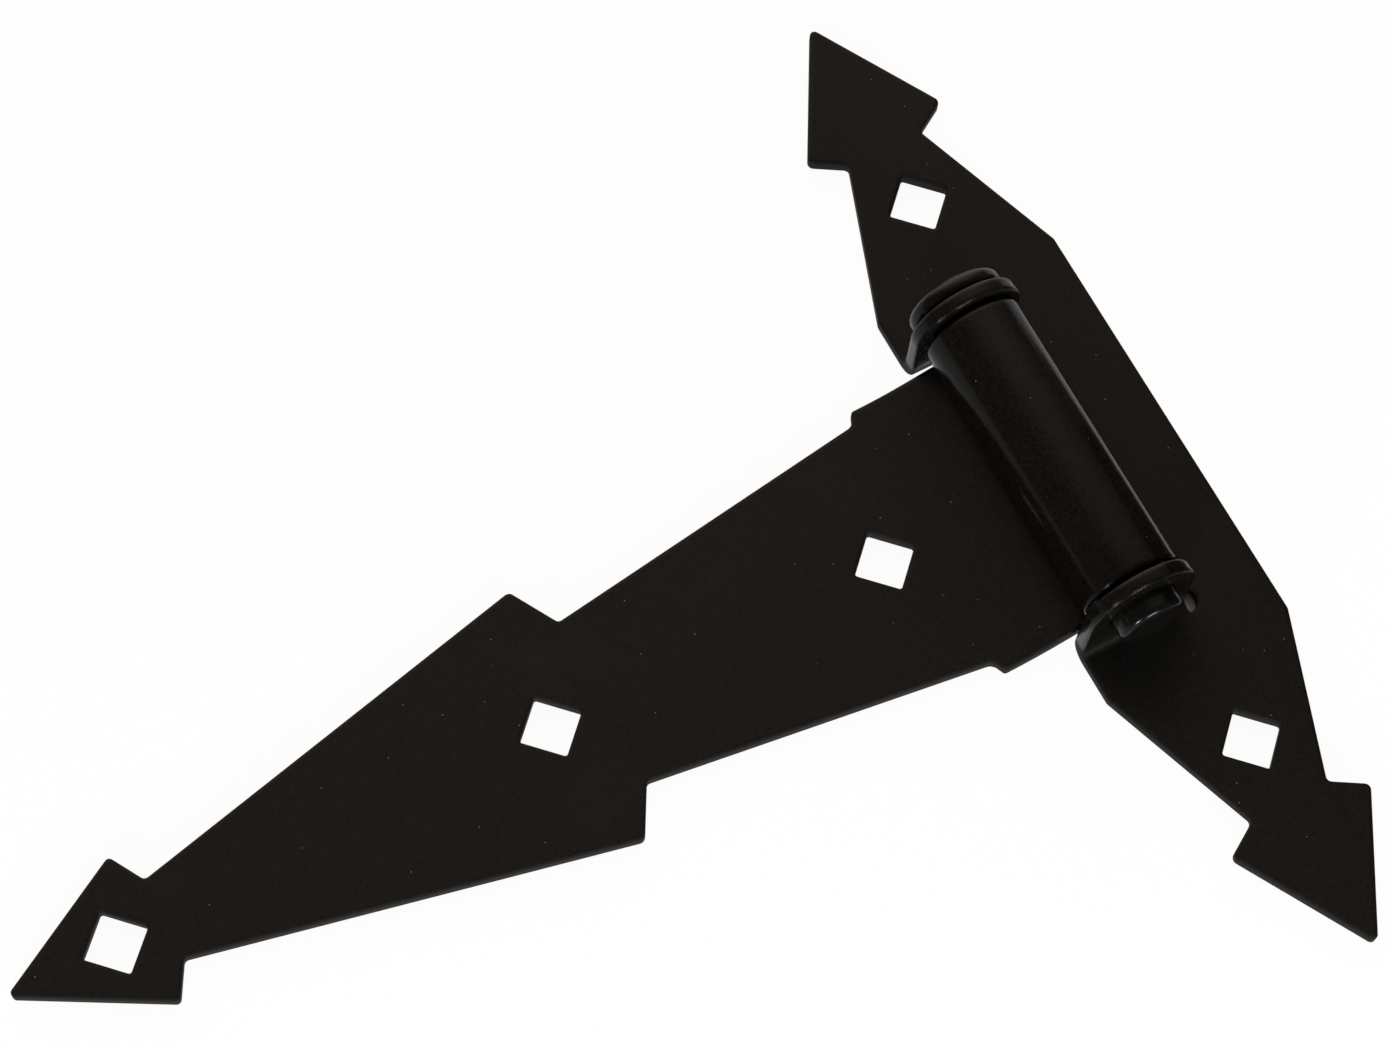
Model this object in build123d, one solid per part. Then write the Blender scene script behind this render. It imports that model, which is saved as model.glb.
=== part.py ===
from build123d import *
import os
from math import acos, cos, degrees, radians, sin

# A heavy tee hinge for gates and shed doors, cut and folded from steel sheet.
#
# The long strap ends in a rolled barrel. The short cross plate has two ears folded up
# from it, one at each end of the barrel, and one headed pin runs through all three.
# Both leaves have the same cut outline: a taper, a pair of barbs and an arrow tip.
#
# Frame: the origin lies on the back of the hinge, straight under the middle of the pin.
# +X runs from the strap's tip towards the cross plate, +Y along the pin towards its
# head, and +Z out of the face. Both leaves lie with their backs at z = 0.

# Sheet, shared by both leaves
sheet = 2.8
edge_round = 0.45        # softened edge of the cut sheet, under its coat
bolt_square = 8.7        # side of a square hole, for the neck of a 5/16 in carriage bolt
hole_corner = 0.5

# Pin
pin_radius = 6.35        # half-inch bar
ear_clearance = 0.08     # on the radius: the pin is held close in both ears
bore_clearance = 0.33    # on the radius: the barrel turns freely
axis_height = 14.5       # middle of the pin above the back of the leaves
head_radius = 9.3
head_thickness = 3.5
head_round = 1.6         # rim of the head, on the outside
head_under_round = 1.4   # rim of the head, towards the ear
head_root_round = 0.2    # inner corner where the shank meets the head
head_gap = 0.3           # between the head and the ear that it sits on
tail_length = 4.0        # what stands out past the other ear
tail_round = 1.2

# Strap
barrel_length = 56.0
seam_gap = 0.3           # between the end of the roll and the strap's own face
ramp_angle = 14.5        # slope of the strap where it climbs to the barrel
ramp_bend = 50.0         # radius of the easy bend at the foot of that slope
strap_reach = 203.2      # pin to tip, 8 in
shoulder_x = 23.9        # end of the full width, from the pin
shoulder_run = 1.1       # how far the step down to the neck leans along the strap
neck_half_width = 25.5
strap_notch_x = 89.6     # from the pin
strap_notch_half_width = 16.6
strap_barb_step = 5.2    # from that notch to its barb, along the strap
strap_barb_half_width = 25.7
tip_notch_depth = 29.3   # back from the strap's tip
tip_notch_half_width = 7.8
tip_barb_depth = 25.5    # back from the strap's tip
tip_barb_half_width = 14.4
root_hole_x = 32.7       # from the pin
middle_hole_step = 5.0   # from the barb to the hole beside it
tip_hole_depth = 20.2    # back from the strap's tip

# Cross plate
plate_axis_x = 8.0       # the plate's own middle line, off the pin's line
plate_half_width = 18.7
plate_reach = 100.8      # middle to either tip
shoulder_margin = 8.2    # full width goes on this far past the fold of each ear
plate_notch_depth = 28.9     # back from either tip
plate_notch_half_width = 7.7
plate_barb_depth = 24.9      # back from either tip
plate_barb_half_width = 14.3
plate_hole_depth = 41.6      # back from either tip
ear_gap = 1.0            # between an end of the barrel and the ear beside it
fold_radius = 1.2        # inside radius where an ear is folded up
web_clearance = 2.5      # between the barrel's side and the edge of the cut-out
relief_radius = 2.7      # round nick beside each fold, so that the sheet folds without tearing
relief_overrun = 0.8     # how far that nick runs past the fold

# Corner radii of the cut outlines
corner_round = 1.2
inner_corner_round = 1.0
step_corner_round = 0.7  # outer corner of the small step beside the barrel
neck_corner_round = 2.0  # inner corner of that step
shoulder_round = 2.0
point_round = 0.9

# Worked out from the sizes above
ear_bore_radius = pin_radius + ear_clearance
bore_radius = pin_radius + bore_clearance
barrel_radius = bore_radius + sheet
barrel_half = barrel_length / 2
ear_inner_y = barrel_half + ear_gap
ear_outer_y = ear_inner_y + sheet
fold_line_y = ear_outer_y + fold_radius
strap_barb_x = strap_notch_x + strap_barb_step
tip_notch_x = strap_reach - tip_notch_depth
tip_barb_x = strap_reach - tip_barb_depth
tip_hole_x = strap_reach - tip_hole_depth
strap_holes_x = (root_hole_x, strap_barb_x + middle_hole_step, tip_hole_x)
plate_shoulder_y = fold_line_y + shoulder_margin
plate_notch_y = plate_reach - plate_notch_depth
plate_barb_y = plate_reach - plate_barb_depth
plate_hole_y = plate_reach - plate_hole_depth
ear_half_width = plate_half_width - plate_axis_x    # the ears end flush with the plate's edge
cutout_x = barrel_radius + web_clearance
rim_round = min(edge_round, sheet / 3)
beyond = 2 * (strap_reach + plate_reach)            # past every end, for cuts that run out
tangent_limit = 20                                  # degrees: faces that meet flatter are smooth


def sharp_edges(solid):
    """The edges of a solid at which two faces meet at a clear angle."""
    beside = {}
    for face in solid.faces():
        for edge in face.edges():
            beside.setdefault(hash(edge), (edge, []))[1].append(face)
    sharp = []
    for edge, faces in beside.values():
        if len(faces) == 2:
            first, second = [face.normal_at(edge @ 0.5) for face in faces]
            if first.get_angle(second) > tangent_limit:
                sharp.append(edge)
    return sharp


def square_hole(x, y):
    """A square hole stood on its corner, cut through the whole sheet."""
    side = bolt_square
    corner = min(hole_corner, side / 4)
    outline = Pos(x, y) * Rot(0, 0, 45) * RectangleRounded(side, side, corner)
    return extrude(outline, amount=sheet + axis_height, both=True)


def outline_face(half_points, radii):
    """The face inside an outline that is the same on both sides of the X axis.

    half_points run along +Y side, from one end to the point on the axis.
    """
    other_half = [(x, -y) for x, y in reversed(half_points[:-1])]
    other_radii = list(reversed(radii[:-1]))
    wire = FilletPolyline(*half_points, *other_half, radius=[*radii, *other_radii], close=True)
    return make_face(wire.edges())


def strap_outline():
    past_barrel = 2 * barrel_radius
    points = [
        (past_barrel, barrel_half),
        (-shoulder_x, barrel_half),
        (-shoulder_x - shoulder_run, neck_half_width),
        (-strap_notch_x, strap_notch_half_width),
        (-strap_barb_x, strap_barb_half_width),
        (-tip_notch_x, tip_notch_half_width),
        (-tip_barb_x, tip_barb_half_width),
        (-strap_reach, 0),
    ]
    radii = [
        corner_round,
        step_corner_round,
        neck_corner_round,
        inner_corner_round,
        corner_round,
        inner_corner_round,
        point_round,
        point_round,
    ]
    return outline_face(points, radii)


def rolled_section():
    """Side view of the strap: flat, up an easy slope, then round the pin and back.

    The underside of the flat turns into the outside of the barrel. The slope's foot is
    placed so that the straight part runs on into the barrel without a kink.
    """
    slope = radians(ramp_angle)
    rise = axis_height - ramp_bend * (1 - cos(slope))
    bend_end = -(rise * cos(slope) - barrel_radius) / sin(slope)
    bend_start = bend_end - ramp_bend * sin(slope)
    start = degrees(slope) - 90
    # the roll stops where its outer corner would meet the strap's face
    wrap_stop = degrees(acos((bore_radius - seam_gap) / barrel_radius))
    turn = 360 - wrap_stop
    centre = (0, axis_height)

    def leaf_side(offset):
        """One face of the strip, offset from its underside, up to the barrel."""
        bend_radius = ramp_bend - offset
        flat = Line((-beyond, offset), (bend_start, offset))
        bend = CenterArc((bend_start, ramp_bend), bend_radius, -90, ramp_angle)
        roll = CenterArc(centre, barrel_radius - offset, start, turn)
        climb = Line(bend @ 1, roll @ 0)
        return flat, bend, climb, roll

    underside = leaf_side(0)
    face = leaf_side(sheet)
    far_end = Line(underside[0] @ 0, face[0] @ 0)
    lip = Line(underside[-1] @ 1, face[-1] @ 1)
    edges = Curve() + [*underside, *face, far_end, lip]
    return make_face(Plane.XZ * edges)


def make_strap():
    strip = extrude(rolled_section(), amount=barrel_half + sheet, both=True)
    cutter = extrude(strap_outline(), amount=axis_height + 2 * barrel_radius, both=True)
    strap = strip & cutter
    for x in strap_holes_x:
        strap -= square_hole(-x, 0)
    return fillet(sharp_edges(strap), rim_round)


def plate_outline():
    half = [
        (plate_half_width, plate_shoulder_y),
        (plate_notch_half_width, plate_notch_y),
        (plate_barb_half_width, plate_barb_y),
        (0, plate_reach),
    ]
    radii = [shoulder_round, inner_corner_round, corner_round, point_round]
    left_up = [(-x, y) for x, y in reversed(half[:-1])]
    upper = half + left_up
    upper_radii = radii + list(reversed(radii[:-1]))
    lower = [(-x, -y) for x, y in upper]
    wire = FilletPolyline(*upper, *lower, radius=upper_radii + upper_radii, close=True)
    return Pos(plate_axis_x, 0) * make_face(wire.edges())


def relief(side):
    """Half-round nick beside the fold, on the side of the web."""
    middle_y = fold_line_y + relief_overrun - relief_radius
    middle = Pos(ear_half_width, side * middle_y)
    beside_ear = Pos(relief_radius, 0) * Rectangle(2 * relief_radius, 3 * relief_radius)
    return middle * (Circle(relief_radius) & beside_ear)


def flat_plate():
    """The cut sheet before the ears are folded, without the ears themselves."""
    left = -beyond
    width = cutout_x - left
    cutout = Pos(left + width / 2, 0) * Rectangle(width, 2 * fold_line_y)
    outline = plate_outline() - cutout - relief(1) - relief(-1)
    blank = extrude(outline, amount=sheet)
    for side in (1, -1):
        blank -= square_hole(plate_axis_x, side * plate_hole_y)
    return blank


def fold():
    """The quarter turn between the plate and its upright ear, on the +Y side."""
    outer = fold_radius + sheet
    ring = Circle(outer) - Circle(fold_radius)
    quarter = ring & Pos(-outer / 2, -outer / 2) * Rectangle(outer, outer)
    section = Plane.YZ * Pos(fold_line_y, outer) * quarter
    return extrude(section, amount=ear_half_width, both=True)


def upright_ear():
    """The flat part of an ear, round at the top about the pin, on the +Y side."""
    foot = fold_radius + sheet
    post = Pos(0, (foot + axis_height) / 2) * Rectangle(2 * ear_half_width, axis_height - foot)
    tab = post + Pos(0, axis_height) * Circle(ear_half_width)
    tab -= Pos(0, foot - ear_half_width) * Rectangle(3 * ear_half_width, 2 * ear_half_width)
    tab -= Pos(0, axis_height) * Circle(ear_bore_radius)
    # this plane's normal is -Y, so the ear grows outwards with a negative amount
    return extrude(Plane.XZ.offset(-ear_inner_y) * tab, amount=-sheet)


def make_cross_plate():
    ear = fold() + upright_ear()
    plate = flat_plate() + ear + mirror(ear, about=Plane.XZ)
    return fillet(sharp_edges(plate), rim_round)


def make_pin():
    """Headed pin along Y, turned in one piece, with a plain rounded end."""
    head_y = ear_outer_y + head_gap
    top_y = head_y + head_thickness
    end_y = -ear_outer_y - tail_length
    points = [
        (0, end_y),
        (pin_radius, end_y),
        (pin_radius, head_y),
        (head_radius, head_y),
        (head_radius, top_y),
        (0, top_y),
    ]
    rounds = [tail_round, head_root_round, head_under_round, head_round]
    side = FilletPolyline(*points, radius=rounds)
    core = Line(points[-1], points[0])
    profile = make_face(Curve() + [side, core])
    return Pos(0, 0, axis_height) * revolve(profile, Axis.Y)


parts = {
    "strap_leaf": make_strap(),
    "cross_plate": make_cross_plate(),
    "hinge_pin": make_pin(),
}

os.makedirs("parts", exist_ok=True)
for name, shape in parts.items():
    export_step(shape, f"parts/{name}.step")
    print(name, "volume", round(shape.volume, 1), "mm3")
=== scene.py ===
# %% [markdown]
# # A tee hinge, dressed for its picture
#
# The solids of the hinge come in ready made: a long strap that ends in a rolled barrel,
# a cross plate with two folded ears, and the headed pin that holds them together.
# This lesson gives them their looks: the satin black powder coat, the dust and faint
# marks of handling, a white table, and the lamps and camera of a catalogue picture.
#
# Lengths are in metres. The back of the hinge lies at height 0, +X points from the
# strap's tip to the cross plate, and +Y runs along the pin towards its head.

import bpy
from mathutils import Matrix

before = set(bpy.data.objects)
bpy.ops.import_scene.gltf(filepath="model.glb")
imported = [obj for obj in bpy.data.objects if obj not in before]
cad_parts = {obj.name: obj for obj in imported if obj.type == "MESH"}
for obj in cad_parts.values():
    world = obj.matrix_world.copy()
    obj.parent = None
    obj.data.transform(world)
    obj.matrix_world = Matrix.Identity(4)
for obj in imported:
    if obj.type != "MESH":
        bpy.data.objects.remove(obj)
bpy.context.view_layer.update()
print("solids:", sorted(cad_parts))

# %% [markdown]
# ## The three pieces
#
# The real hinge is two pieces of sheet steel and one pin, and their shapes are complete
# as they come. They could be modelled again here, but then they might not fit each other
# any more. So each piece keeps its mesh and its place, and only gets a finish.

# %% The three pieces
from math import acos, cos, degrees, radians, sin

import bpy
from mathutils import Matrix, Vector

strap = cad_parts["strap_leaf"]
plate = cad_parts["cross_plate"]
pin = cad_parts["hinge_pin"]
for piece in (strap, plate, pin):
    print(piece.name, "has", len(piece.data.polygons), "faces")

# %% [markdown]
# ## Camera
#
# The picture was taken from high above the strap's near side with a long lens, and the
# camera was turned a few degrees about its own line of sight. A camera could be placed
# by its own position and three angles, but it is easier to find from the point that it
# looks at: the direction back to the camera is given by an azimuth and an elevation, and
# the roll turns the two picture axes about that line.

# %% Camera
look_at = Vector((-0.058499, 0.022330, 0.0))
distance = 0.646466
azimuth, elevation, roll = radians(-33.510), radians(68.046), radians(5.530)

back = Vector((sin(azimuth) * cos(elevation), -cos(azimuth) * cos(elevation), sin(elevation)))
level = Vector((cos(azimuth), sin(azimuth), 0.0))
upward = back.cross(level)
right = cos(roll) * level + sin(roll) * upward
top = -sin(roll) * level + cos(roll) * upward

lens = bpy.data.cameras.new("long_lens")
lens.sensor_width = 36.0
lens.lens = 93.01
lens.clip_start = 0.02
lens.clip_end = 60.0
camera = bpy.data.objects.new("camera", lens)
turn = Matrix((right, top, back)).transposed().to_4x4()
camera.matrix_world = Matrix.Translation(look_at + distance * back) @ turn
bpy.context.scene.collection.objects.link(camera)
bpy.context.scene.camera = camera
print("camera stands", round(camera.location.z, 3), "m above the table")

# %% [markdown]
# ## Helpers for nodes
#
# A material is a small network. It could be wired by hand, a line for each link, but a
# few helpers keep it readable: one adds a node and sets its values, one feeds a socket
# with a value or with another node's output, and four make the nodes that come up most
# often. Those work out a number, mix two colours or numbers, mix two shaders, and map
# one range of values onto another.

# %% Helpers for nodes
def add(tree, kind, **values):
    """A new node of that kind, with properties or input sockets set by name."""
    node = tree.nodes.new("ShaderNode" + kind)
    for name, value in values.items():
        if hasattr(node, name):
            setattr(node, name, value)
        else:
            node.inputs[name.replace("_", " ")].default_value = value
    return node


def feed(tree, source, socket):
    """Links another node's output to an input socket, or sets a plain value there."""
    if isinstance(source, bpy.types.NodeSocket):
        tree.links.new(source, socket)
    else:
        socket.default_value = source


def compute(tree, operation, *sources, kind="Math"):
    """The number that a Math or VectorMath node works out from those sources."""
    node = add(tree, kind, operation=operation)
    for source, socket in zip(sources, node.inputs):
        feed(tree, source, socket)
    return node.outputs["Value"]


# A Mix node has sockets for every kind of data: first input, second input, output.
mix_sockets = {"FLOAT": (2, 3, 0), "RGBA": (6, 7, 2)}


def mix(tree, share, first, second, data_type="RGBA"):
    """Goes from the first colour or number to the second as the share goes from 0 to 1."""
    node = add(tree, "Mix", data_type=data_type)
    first_input, second_input, output = mix_sockets[data_type]
    feed(tree, share, node.inputs[0])
    feed(tree, first, node.inputs[first_input])
    feed(tree, second, node.inputs[second_input])
    return node.outputs[output]


def mix_shaders(tree, share, first, second):
    """Goes from the first shader to the second as the share goes from 0 to 1."""
    node = add(tree, "MixShader")
    for source, socket in zip((share, first, second), node.inputs):
        feed(tree, source, socket)
    return node.outputs["Shader"]


def ramp(tree, source, low, high, start=0.0, end=1.0):
    """Maps a value from low..high to start..end, and holds it there beyond."""
    node = add(tree, "MapRange", From_Min=low, From_Max=high, To_Min=start, To_Max=end)
    node.interpolation_type = "SMOOTHSTEP"
    feed(tree, source, node.inputs["Value"])
    return node.outputs["Result"]


print("sockets of a Mix node:", mix_sockets)

# %% [markdown]
# ## Helpers for node groups
#
# Grain, dust and marks of handling are on both finishes. Each could be built again in
# every material, but as a group with named inputs and outputs it is built once, and each
# finish places it with values of its own.

# %% Helpers for node groups
def new_group(name, inputs, outputs):
    """A shader group with those sockets: its tree, its input node and its output node."""
    tree = bpy.data.node_groups.new(name, "ShaderNodeTree")
    for in_out, sockets in (("INPUT", inputs), ("OUTPUT", outputs)):
        for label, kind in sockets.items():
            tree.interface.new_socket(label, in_out=in_out, socket_type="NodeSocket" + kind)
    return tree, tree.nodes.new("NodeGroupInput"), tree.nodes.new("NodeGroupOutput")


def use(tree, group, vector, values):
    """Places a group in a tree, fed with that vector and with those values by name."""
    node = tree.nodes.new("ShaderNodeGroup")
    node.node_tree = group
    feed(tree, vector, node.inputs["Vector"])
    for name, value in values.items():
        feed(tree, value, node.inputs[name])
    return node


print("node groups so far:", len(bpy.data.node_groups))

# %% [markdown]
# ## Grain of a powder coat
#
# Powder is sprayed on dry and melts into a skin that isn't quite flat: it has a shallow
# orange peel about a millimetre across, and a much finer tooth that makes it satin. Its
# tone also drifts a little between brown and green-black. A photo of real paint would
# show seams and go soft close up, so layers of noise give the height, the tone and the
# roughness instead. The scale of a noise is about how many of its lumps fit in a metre.

# %% Grain of a powder coat
drift_scale = 1500.0
tooth_in_height, tooth_in_tone = 0.12, 0.2
tone_low, tone_high = 0.35, 0.85
peel_low, peel_high = 0.3, 0.7

grain_group, inlet, outlet = new_group(
    "powder_grain",
    {"Vector": "Vector", "Peel Scale": "Float", "Tooth Scale": "Float"},
    {"Height": "Float", "Tone": "Float", "Roughening": "Float"},
)
tree = grain_group
peel = add(tree, "TexNoise", Detail=3.0, Roughness=0.45)
tooth = add(tree, "TexNoise", Detail=2.0, Roughness=0.6)
drift = add(tree, "TexNoise", Scale=drift_scale, Detail=2.0, Roughness=0.62)
feed(tree, inlet.outputs["Peel Scale"], peel.inputs["Scale"])
feed(tree, inlet.outputs["Tooth Scale"], tooth.inputs["Scale"])
for noise in (peel, tooth, drift):
    feed(tree, inlet.outputs["Vector"], noise.inputs["Vector"])
peel_value, tooth_value = peel.outputs["Fac"], tooth.outputs["Fac"]
height = compute(tree, "MULTIPLY_ADD", tooth_value, tooth_in_height, peel_value)
tone = compute(tree, "MULTIPLY_ADD", tooth_value, tooth_in_tone, drift.outputs["Fac"])
feed(tree, height, outlet.inputs["Height"])
feed(tree, ramp(tree, tone, tone_low, tone_high), outlet.inputs["Tone"])
feed(tree, ramp(tree, peel_value, peel_low, peel_high), outlet.inputs["Roughening"])
print("group", tree.name, "with", len(tree.nodes), "nodes")

# %% [markdown]
# ## Dust
#
# A dark satin surface shows every pale speck of dust. Specks could be scattered as small
# meshes, but they are far too small to need a shape. Each cell of a cellular texture
# holds one point, and only the few points that happen to lie in the surface itself give
# a speck, so the specks come out scattered and unequal, as dust is.

# %% Dust
speck_core = 0.55

dust_group, inlet, outlet = new_group(
    "dust_specks",
    {"Vector": "Vector", "Cell Scale": "Float", "Speck Size": "Float"},
    {"Mask": "Float"},
)
tree = dust_group
cells = add(tree, "TexVoronoi", Randomness=1.0)
feed(tree, inlet.outputs["Vector"], cells.inputs["Vector"])
feed(tree, inlet.outputs["Cell Scale"], cells.inputs["Scale"])
from_middle = compute(tree, "DIVIDE", cells.outputs["Distance"], inlet.outputs["Speck Size"])
speck = ramp(tree, from_middle, speck_core, 1.0, start=1.0, end=0.0)
feed(tree, speck, outlet.inputs["Mask"])
print("group", tree.name, "with", len(tree.nodes), "nodes")

# %% [markdown]
# ## Marks of handling
#
# Fingers and packing leave broad, barely lighter patches. They could be painted where a
# hand would hold the hinge, but they are so faint that little more than their size shows:
# the patches are the tops of a very large noise, bent a little out of shape.

# %% Marks of handling
patch_low, patch_high = 0.56, 0.78

smudge_group, inlet, outlet = new_group(
    "handling_marks",
    {"Vector": "Vector", "Patch Scale": "Float"},
    {"Mask": "Float"},
)
tree = smudge_group
patches = add(tree, "TexNoise", Detail=5.0, Roughness=0.7, Distortion=0.6)
feed(tree, inlet.outputs["Vector"], patches.inputs["Vector"])
feed(tree, inlet.outputs["Patch Scale"], patches.inputs["Scale"])
feed(tree, ramp(tree, patches.outputs["Fac"], patch_low, patch_high), outlet.inputs["Mask"])
print("group", tree.name, "with", len(tree.nodes), "nodes")

# %% [markdown]
# ## Tone of the coat
#
# The coat could be one flat black, but close up the real one runs between a brown-black
# and a green-black. Over that lie the marks of handling, a little paler, and then the
# dust in a pale grey. Dust settles on what faces up, so the direction of the surface
# keeps it off walls and undersides.

# %% Tone of the coat
haze = 1.35
dust_from, dust_full = 0.2, 0.8


def coat_colour(tree, tone, marks, specks, brown, green, dust_colour):
    """The colour of the coat, with its drift, its marks of handling and its dust."""
    skin = mix(tree, tone, (*brown, 1.0), (*green, 1.0))
    hazy_brown = (*[haze * c for c in brown], 1.0)
    hazy = mix(tree, marks, skin, hazy_brown)
    facing = add(tree, "SeparateXYZ")
    feed(tree, add(tree, "TexCoord").outputs["Normal"], facing.inputs["Vector"])
    upward_face = ramp(tree, facing.outputs["Z"], dust_from, dust_full)
    lying = compute(tree, "MULTIPLY", specks, upward_face)
    return mix(tree, lying, hazy, (*dust_colour, 1.0))


gentle, steep = [round(degrees(acos(z))) for z in (dust_full, dust_from)]
print("dust thins out on slopes of", gentle, "to", steep, "degrees")

# %% [markdown]
# ## Sheen of the coat
#
# The flat faces of the sheet kept a matt tooth, while the barrel, the ears and the pin,
# which stand proud and were worked and handled, mirror more sharply. Two materials on one
# leaf would meet in a hard line, so the height above the table goes softly from one
# roughness to the other instead.
#
# Melted powder also draws back from a sharp edge and rounds it. A Bevel node softens the
# normals near each edge, so that the rims catch a lamp as a thin line, and the grain adds
# its small bump on top.

# %% Sheen of the coat
flat_height, formed_height = 0.0032, 0.0065


def coat_roughness(tree, place, roughening, flat, least, most):
    """The roughness: one value on flat faces, and least to most on what stands proud."""
    formed_roughness = ramp(tree, roughening, 0.0, 1.0, least, most)
    above = add(tree, "SeparateXYZ")
    feed(tree, place, above.inputs["Vector"])
    formed = ramp(tree, above.outputs["Z"], flat_height, formed_height)
    return mix(tree, formed, flat, formed_roughness, data_type="FLOAT")


def coat_normal(tree, height, rim, bump):
    """The direction of the surface, with soft rims and a fine bump."""
    soft_rim = add(tree, "Bevel", samples=8, Radius=rim)
    relief = add(tree, "Bump", Strength=1.0, Distance=bump)
    feed(tree, height, relief.inputs["Height"])
    feed(tree, soft_rim.outputs["Normal"], relief.inputs["Normal"])
    return relief.outputs["Normal"]


print("the sheen changes from", 1000 * flat_height, "to", 1000 * formed_height, "mm up")

# %% [markdown]
# ## One function for both finishes
#
# Two materials could be wired one after the other, but as they differ only in their
# numbers, one function makes both. It places each group, works out what varies over the
# surface, and sets what is the same everywhere on the shader itself.

# %% One function for both finishes
paint_ior = 1.45


def coat(name, grain, marks, dust, colours, flat, least, most, bump, rim, specular):
    """A powder coat with those groups' values, colours, roughnesses, bump and rims."""
    made = bpy.data.materials.new(name)
    made.use_nodes = True
    tree = made.node_tree
    shader = tree.nodes["Principled BSDF"]
    shader.inputs["Metallic"].default_value = 0.0
    shader.inputs["IOR"].default_value = paint_ior
    shader.inputs["Specular IOR Level"].default_value = specular
    place = add(tree, "TexCoord").outputs["Object"]
    skin = use(tree, grain_group, place, grain)
    smudges = use(tree, smudge_group, place, marks).outputs["Mask"]
    specks = use(tree, dust_group, place, dust).outputs["Mask"]
    colour = coat_colour(tree, skin.outputs["Tone"], smudges, specks, *colours)
    roughness = coat_roughness(tree, place, skin.outputs["Roughening"], flat, least, most)
    normal = coat_normal(tree, skin.outputs["Height"], rim, bump)
    feed(tree, colour, shader.inputs["Base Color"])
    feed(tree, roughness, shader.inputs["Roughness"])
    feed(tree, normal, shader.inputs["Normal"])
    return made


print("index of refraction of the paint:", paint_ior)

# %% [markdown]
# ## The two finishes
#
# The strap and the cross plate share a satin coat. The pin was coated by itself, and is
# a little glossier, with sharper rims and paler dust. All three could wear one coat, but
# then the pin would be lost against the ears. Both coats mirror little for a paint, as so
# much of what stands round them is white. The three colours are brown, green and dust.

# %% The two finishes
satin_black = coat(
    "satin_black_coat",
    grain={"Peel Scale": 1100.0, "Tooth Scale": 5200.0},
    marks={"Patch Scale": 26.0},
    dust={"Cell Scale": 330.0, "Speck Size": 0.042},
    colours=[(0.0050, 0.0039, 0.0031), (0.0014, 0.0016, 0.0013), (0.14, 0.125, 0.11)],
    flat=0.62,
    least=0.14,
    most=0.19,
    bump=0.00001,
    rim=0.0012,
    specular=0.10,
)
pin_black = coat(
    "pin_black_coat",
    grain={"Peel Scale": 1100.0, "Tooth Scale": 5200.0},
    marks={"Patch Scale": 26.0},
    dust={"Cell Scale": 330.0, "Speck Size": 0.042},
    colours=[(0.0042, 0.0036, 0.0030), (0.0015, 0.0016, 0.0014), (0.18, 0.16, 0.14)],
    flat=0.62,
    least=0.14,
    most=0.18,
    bump=0.000008,
    rim=0.0004,
    specular=0.13,
)
for piece, finish in ((strap, satin_black), (plate, satin_black), (pin, pin_black)):
    piece.data.materials.clear()
    piece.data.materials.append(finish)
    print(piece.name, "wears", finish.name)

# %% [markdown]
# ## The sheet of the table
#
# The hinge lies on a white table. A studio would roll out paper that curves up behind the
# thing, but seen from this high nothing is behind it, so one large flat face will do. It
# runs out of the picture on every side, and lies a tenth of a millimetre below the hinge,
# so that no two faces share one height.

# %% The sheet of the table
table_half = 4.0
table_drop = 0.0001

table_mesh = bpy.data.meshes.new("table")
corners = [(-table_half, -table_half, 0), (table_half, -table_half, 0)]
corners += [(table_half, table_half, 0), (-table_half, table_half, 0)]
table_mesh.from_pydata(corners, [], [(0, 1, 2, 3)])
table = bpy.data.objects.new("table", table_mesh)
table.location.z = -table_drop
bpy.context.scene.collection.objects.link(table)
print("table is", 2 * table_half, "m wide")

# %% [markdown]
# ## The white of the table
#
# In the picture the table is nearly pure white, with a faint shadow. More light would
# make it so, but it would also light the coat too brightly. So the camera and every
# glossy reflection see plain white, mixed with a little of the lit surface, so that the
# soft shadow under the hinge stays. Only the two small nicks beside the folded ears look
# down on a patch of table that the hinge keeps in the dark: there the plain white fades
# out, the table shows as it is lit, and its colour is darkened there as a painted shade.

# %% The white of the table
plain_white = (1.0, 1.0, 1.0, 1.0)
plain_share = 0.95
# The table's own colour, and a darker painted shade for the patches round the two nicks.
open_tone, nick_painted_shade = 0.75, 0.25
nick_x, nick_y = 0.0125, 0.0335
nick_radius, open_radius = 0.006, 0.008


def share_if_seen(tree, share):
    """That share for camera, glossy and transmitted rays, and 0 for all others."""
    path = add(tree, "LightPath")
    seen = path.outputs["Is Camera Ray"]
    for ray in ("Is Glossy Ray", "Is Transmission Ray"):
        seen = compute(tree, "MAXIMUM", seen, path.outputs[ray])
    return compute(tree, "MULTIPLY", seen, share)


white = bpy.data.materials.new("white_table")
white.use_nodes = True
tree = white.node_tree
surface = tree.nodes["Principled BSDF"]
surface.inputs["Roughness"].default_value = 0.8
surface.inputs["Specular IOR Level"].default_value = 0.1
plain = add(tree, "Emission", Color=plain_white, Strength=1.0)
place = add(tree, "TexCoord").outputs["Object"]
nicks = [(nick_x, -nick_y, 0.0), (nick_x, nick_y, 0.0)]
to_each = [compute(tree, "DISTANCE", place, nick, kind="VectorMath") for nick in nicks]
to_nearest = compute(tree, "MINIMUM", *to_each)
# Round the nicks the table's colour fades down to the painted shade.
tone = ramp(tree, to_nearest, nick_radius, open_radius, start=nick_painted_shade, end=open_tone)
feed(tree, tone, surface.inputs["Base Color"])
in_the_open = ramp(tree, to_nearest, nick_radius, open_radius)
plain_part = compute(tree, "MULTIPLY", share_if_seen(tree, plain_share), in_the_open)
both = mix_shaders(tree, plain_part, surface.outputs["BSDF"], plain.outputs["Emission"])
feed(tree, both, tree.nodes["Material Output"].inputs["Surface"])
table_mesh.materials.append(white)
print("the camera sees", plain_share, "of the table as plain white")

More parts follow.
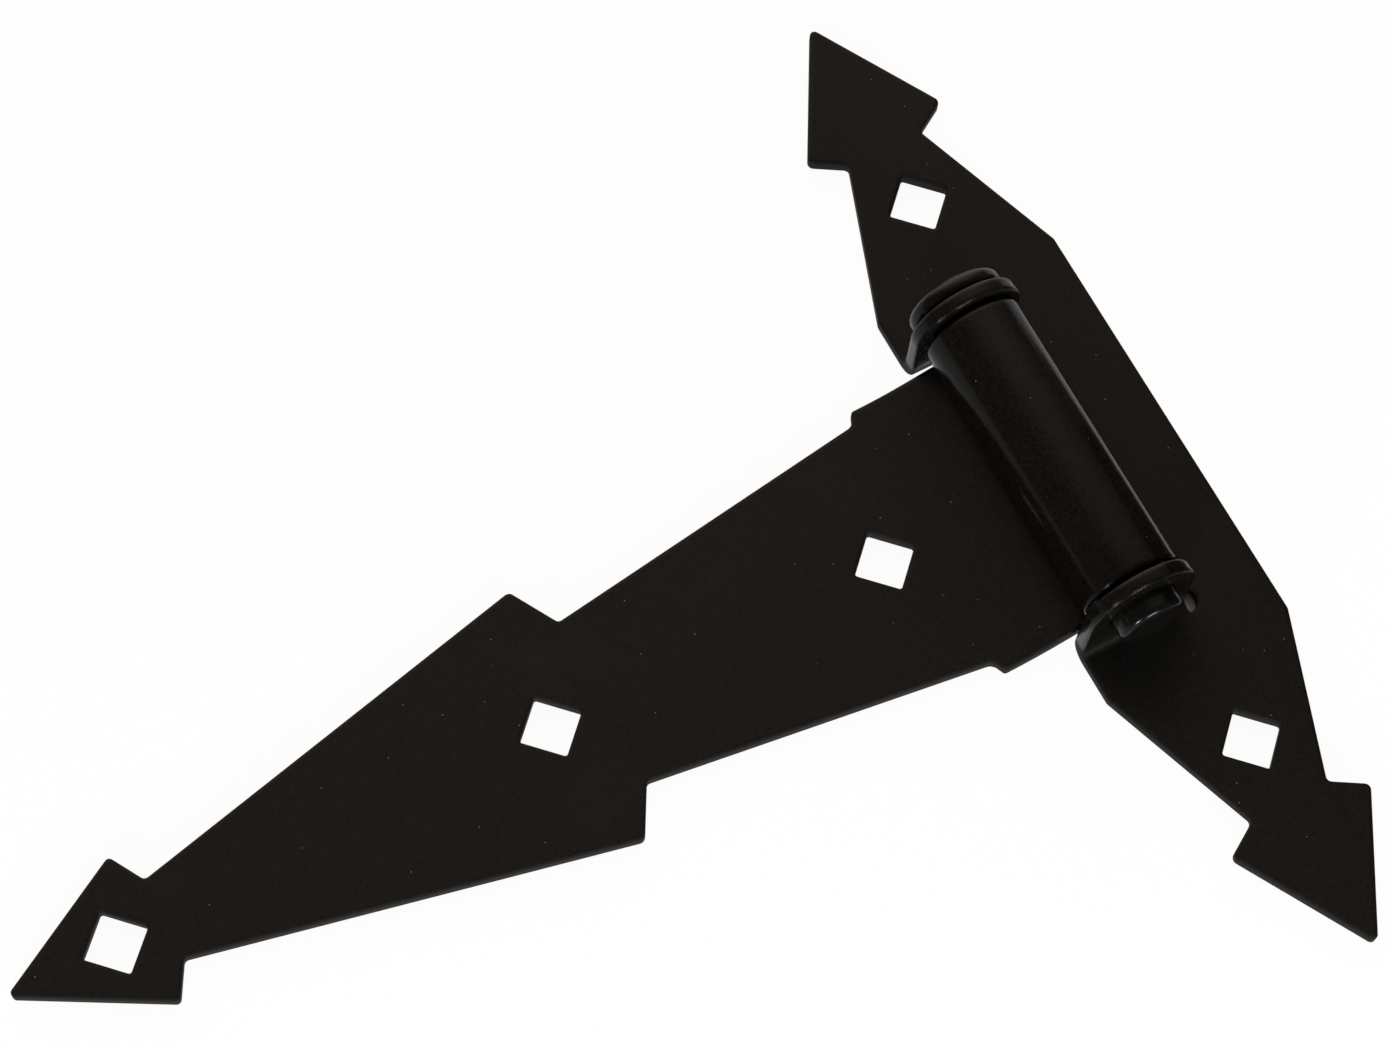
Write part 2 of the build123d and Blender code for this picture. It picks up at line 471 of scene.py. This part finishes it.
# %% [markdown]
# ## Room
#
# A satin black thing is lit by what it mirrors. The room is dim, so that the barrel gets
# dark bands, and a large soft window glows beyond the head end of the pin. An area lamp
# would do for a window, but its hard border would show in the barrel. So the window is
# painted on the world itself: the angle between each direction and the middle of the
# window gives a glow with a soft edge, faintly warm. The camera looks past all this to
# plain white.

# %% Room
def from_angles(turn, rise):
    """The direction at that angle from +X towards +Y, raised by the other angle."""
    turn, rise = radians(turn), radians(rise)
    return Vector((cos(turn) * cos(rise), sin(turn) * cos(rise), sin(rise)))


window_middle = from_angles(79.0, 25.0)
window_core, window_edge = radians(18.0), radians(60.0)
window_colour = (3.95, 3.14, 2.58, 1.0)
room_colour = (0.24, 0.235, 0.23, 1.0)

scene = bpy.context.scene
scene.view_settings.view_transform = "Standard"
world = bpy.data.worlds.new("room")
scene.world = world
world.use_nodes = True
tree = world.node_tree
outward = add(tree, "TexCoord").outputs["Generated"]
along = compute(tree, "DOT_PRODUCT", outward, window_middle, kind="VectorMath")
away = compute(tree, "ARCCOSINE", along)
glow = ramp(tree, away, window_core, window_edge, start=1.0, end=0.0)
sky = tree.nodes["Background"]
feed(tree, mix(tree, glow, room_colour, window_colour), sky.inputs["Color"])
backdrop = add(tree, "Background", Color=plain_white, Strength=1.0)
camera_ray = add(tree, "LightPath").outputs["Is Camera Ray"]
both = mix_shaders(tree, camera_ray, sky.outputs[0], backdrop.outputs[0])
feed(tree, both, tree.nodes["World Output"].inputs["Surface"])
print("window glows towards", [round(c, 2) for c in window_middle])

# %% [markdown]
# ## Lamps
#
# Two small lamps stand low around the near side. They hardly light the flat faces, but
# each rounded edge mirrors them as a short bright streak, as the ears, the head and the
# end of the pin show. Streaks could be painted on the edges, but only a real lamp makes
# them slide along the rims when the hinge or the camera turns.

# %% Lamps
def lamp(name, turn, rise, away, width, height, watts):
    """A rectangular lamp that faces the hinge from that direction."""
    data = bpy.data.lights.new(name, "AREA")
    data.shape = "RECTANGLE"
    data.size = width
    data.size_y = height
    data.energy = watts
    made = bpy.data.objects.new(name, data)
    direction = from_angles(turn, rise)
    made.location = direction * away
    made.rotation_mode = "QUATERNION"
    made.rotation_quaternion = direction.to_track_quat("Z", "Y")
    bpy.context.scene.collection.objects.link(made)
    print(name, "stands", round(made.location.z, 2), "m high")


lamp("near_left_lamp", turn=-132.0, rise=14.0, away=1.2, width=0.24, height=0.24, watts=12.0)
lamp("near_lamp", turn=-88.0, rise=15.0, away=1.2, width=0.42, height=0.16, watts=13.0)

# %% [markdown]
# ## Black card
#
# Photographers shade a shiny black thing with more black. Without it the barrel mirrors
# the white table as one even band down its far side. In the picture that band narrows
# towards the near end, so a low strip of black card stands beyond the cross plate,
# closer and taller towards the near end. A grey patch on the table would do it too, but
# the camera would see that. Only mirror-like rays meet the card, so it throws no shadow,
# and the camera looks through it.

# %% Black card
foot_line = [(0.041, -0.150), (0.045, -0.013), (0.052, 0.014), (0.078, 0.038), (0.130, 0.062)]
card_heights = [0.045, 0.045, 0.036, 0.020, 0.010]
card_colour = (0.02, 0.02, 0.02, 1.0)

foot = [(x, y, 0.0) for x, y in foot_line]
head = [(x, y, h) for (x, y), h in zip(foot_line, card_heights)]
count = len(foot)
panels = [(i, i + 1, count + i + 1, count + i) for i in range(count - 1)]
card_mesh = bpy.data.meshes.new("black_card")
card_mesh.from_pydata(foot + head, [], panels)
card = bpy.data.objects.new("black_card", card_mesh)
bpy.context.scene.collection.objects.link(card)
card.visible_camera = card.visible_diffuse = card.visible_shadow = False
matt_black = bpy.data.materials.new("matt_black_card")
matt_black.use_nodes = True
card_shader = matt_black.node_tree.nodes["Principled BSDF"]
card_shader.inputs["Base Color"].default_value = card_colour
card_mesh.materials.append(matt_black)
print("card of", len(panels), "panels")
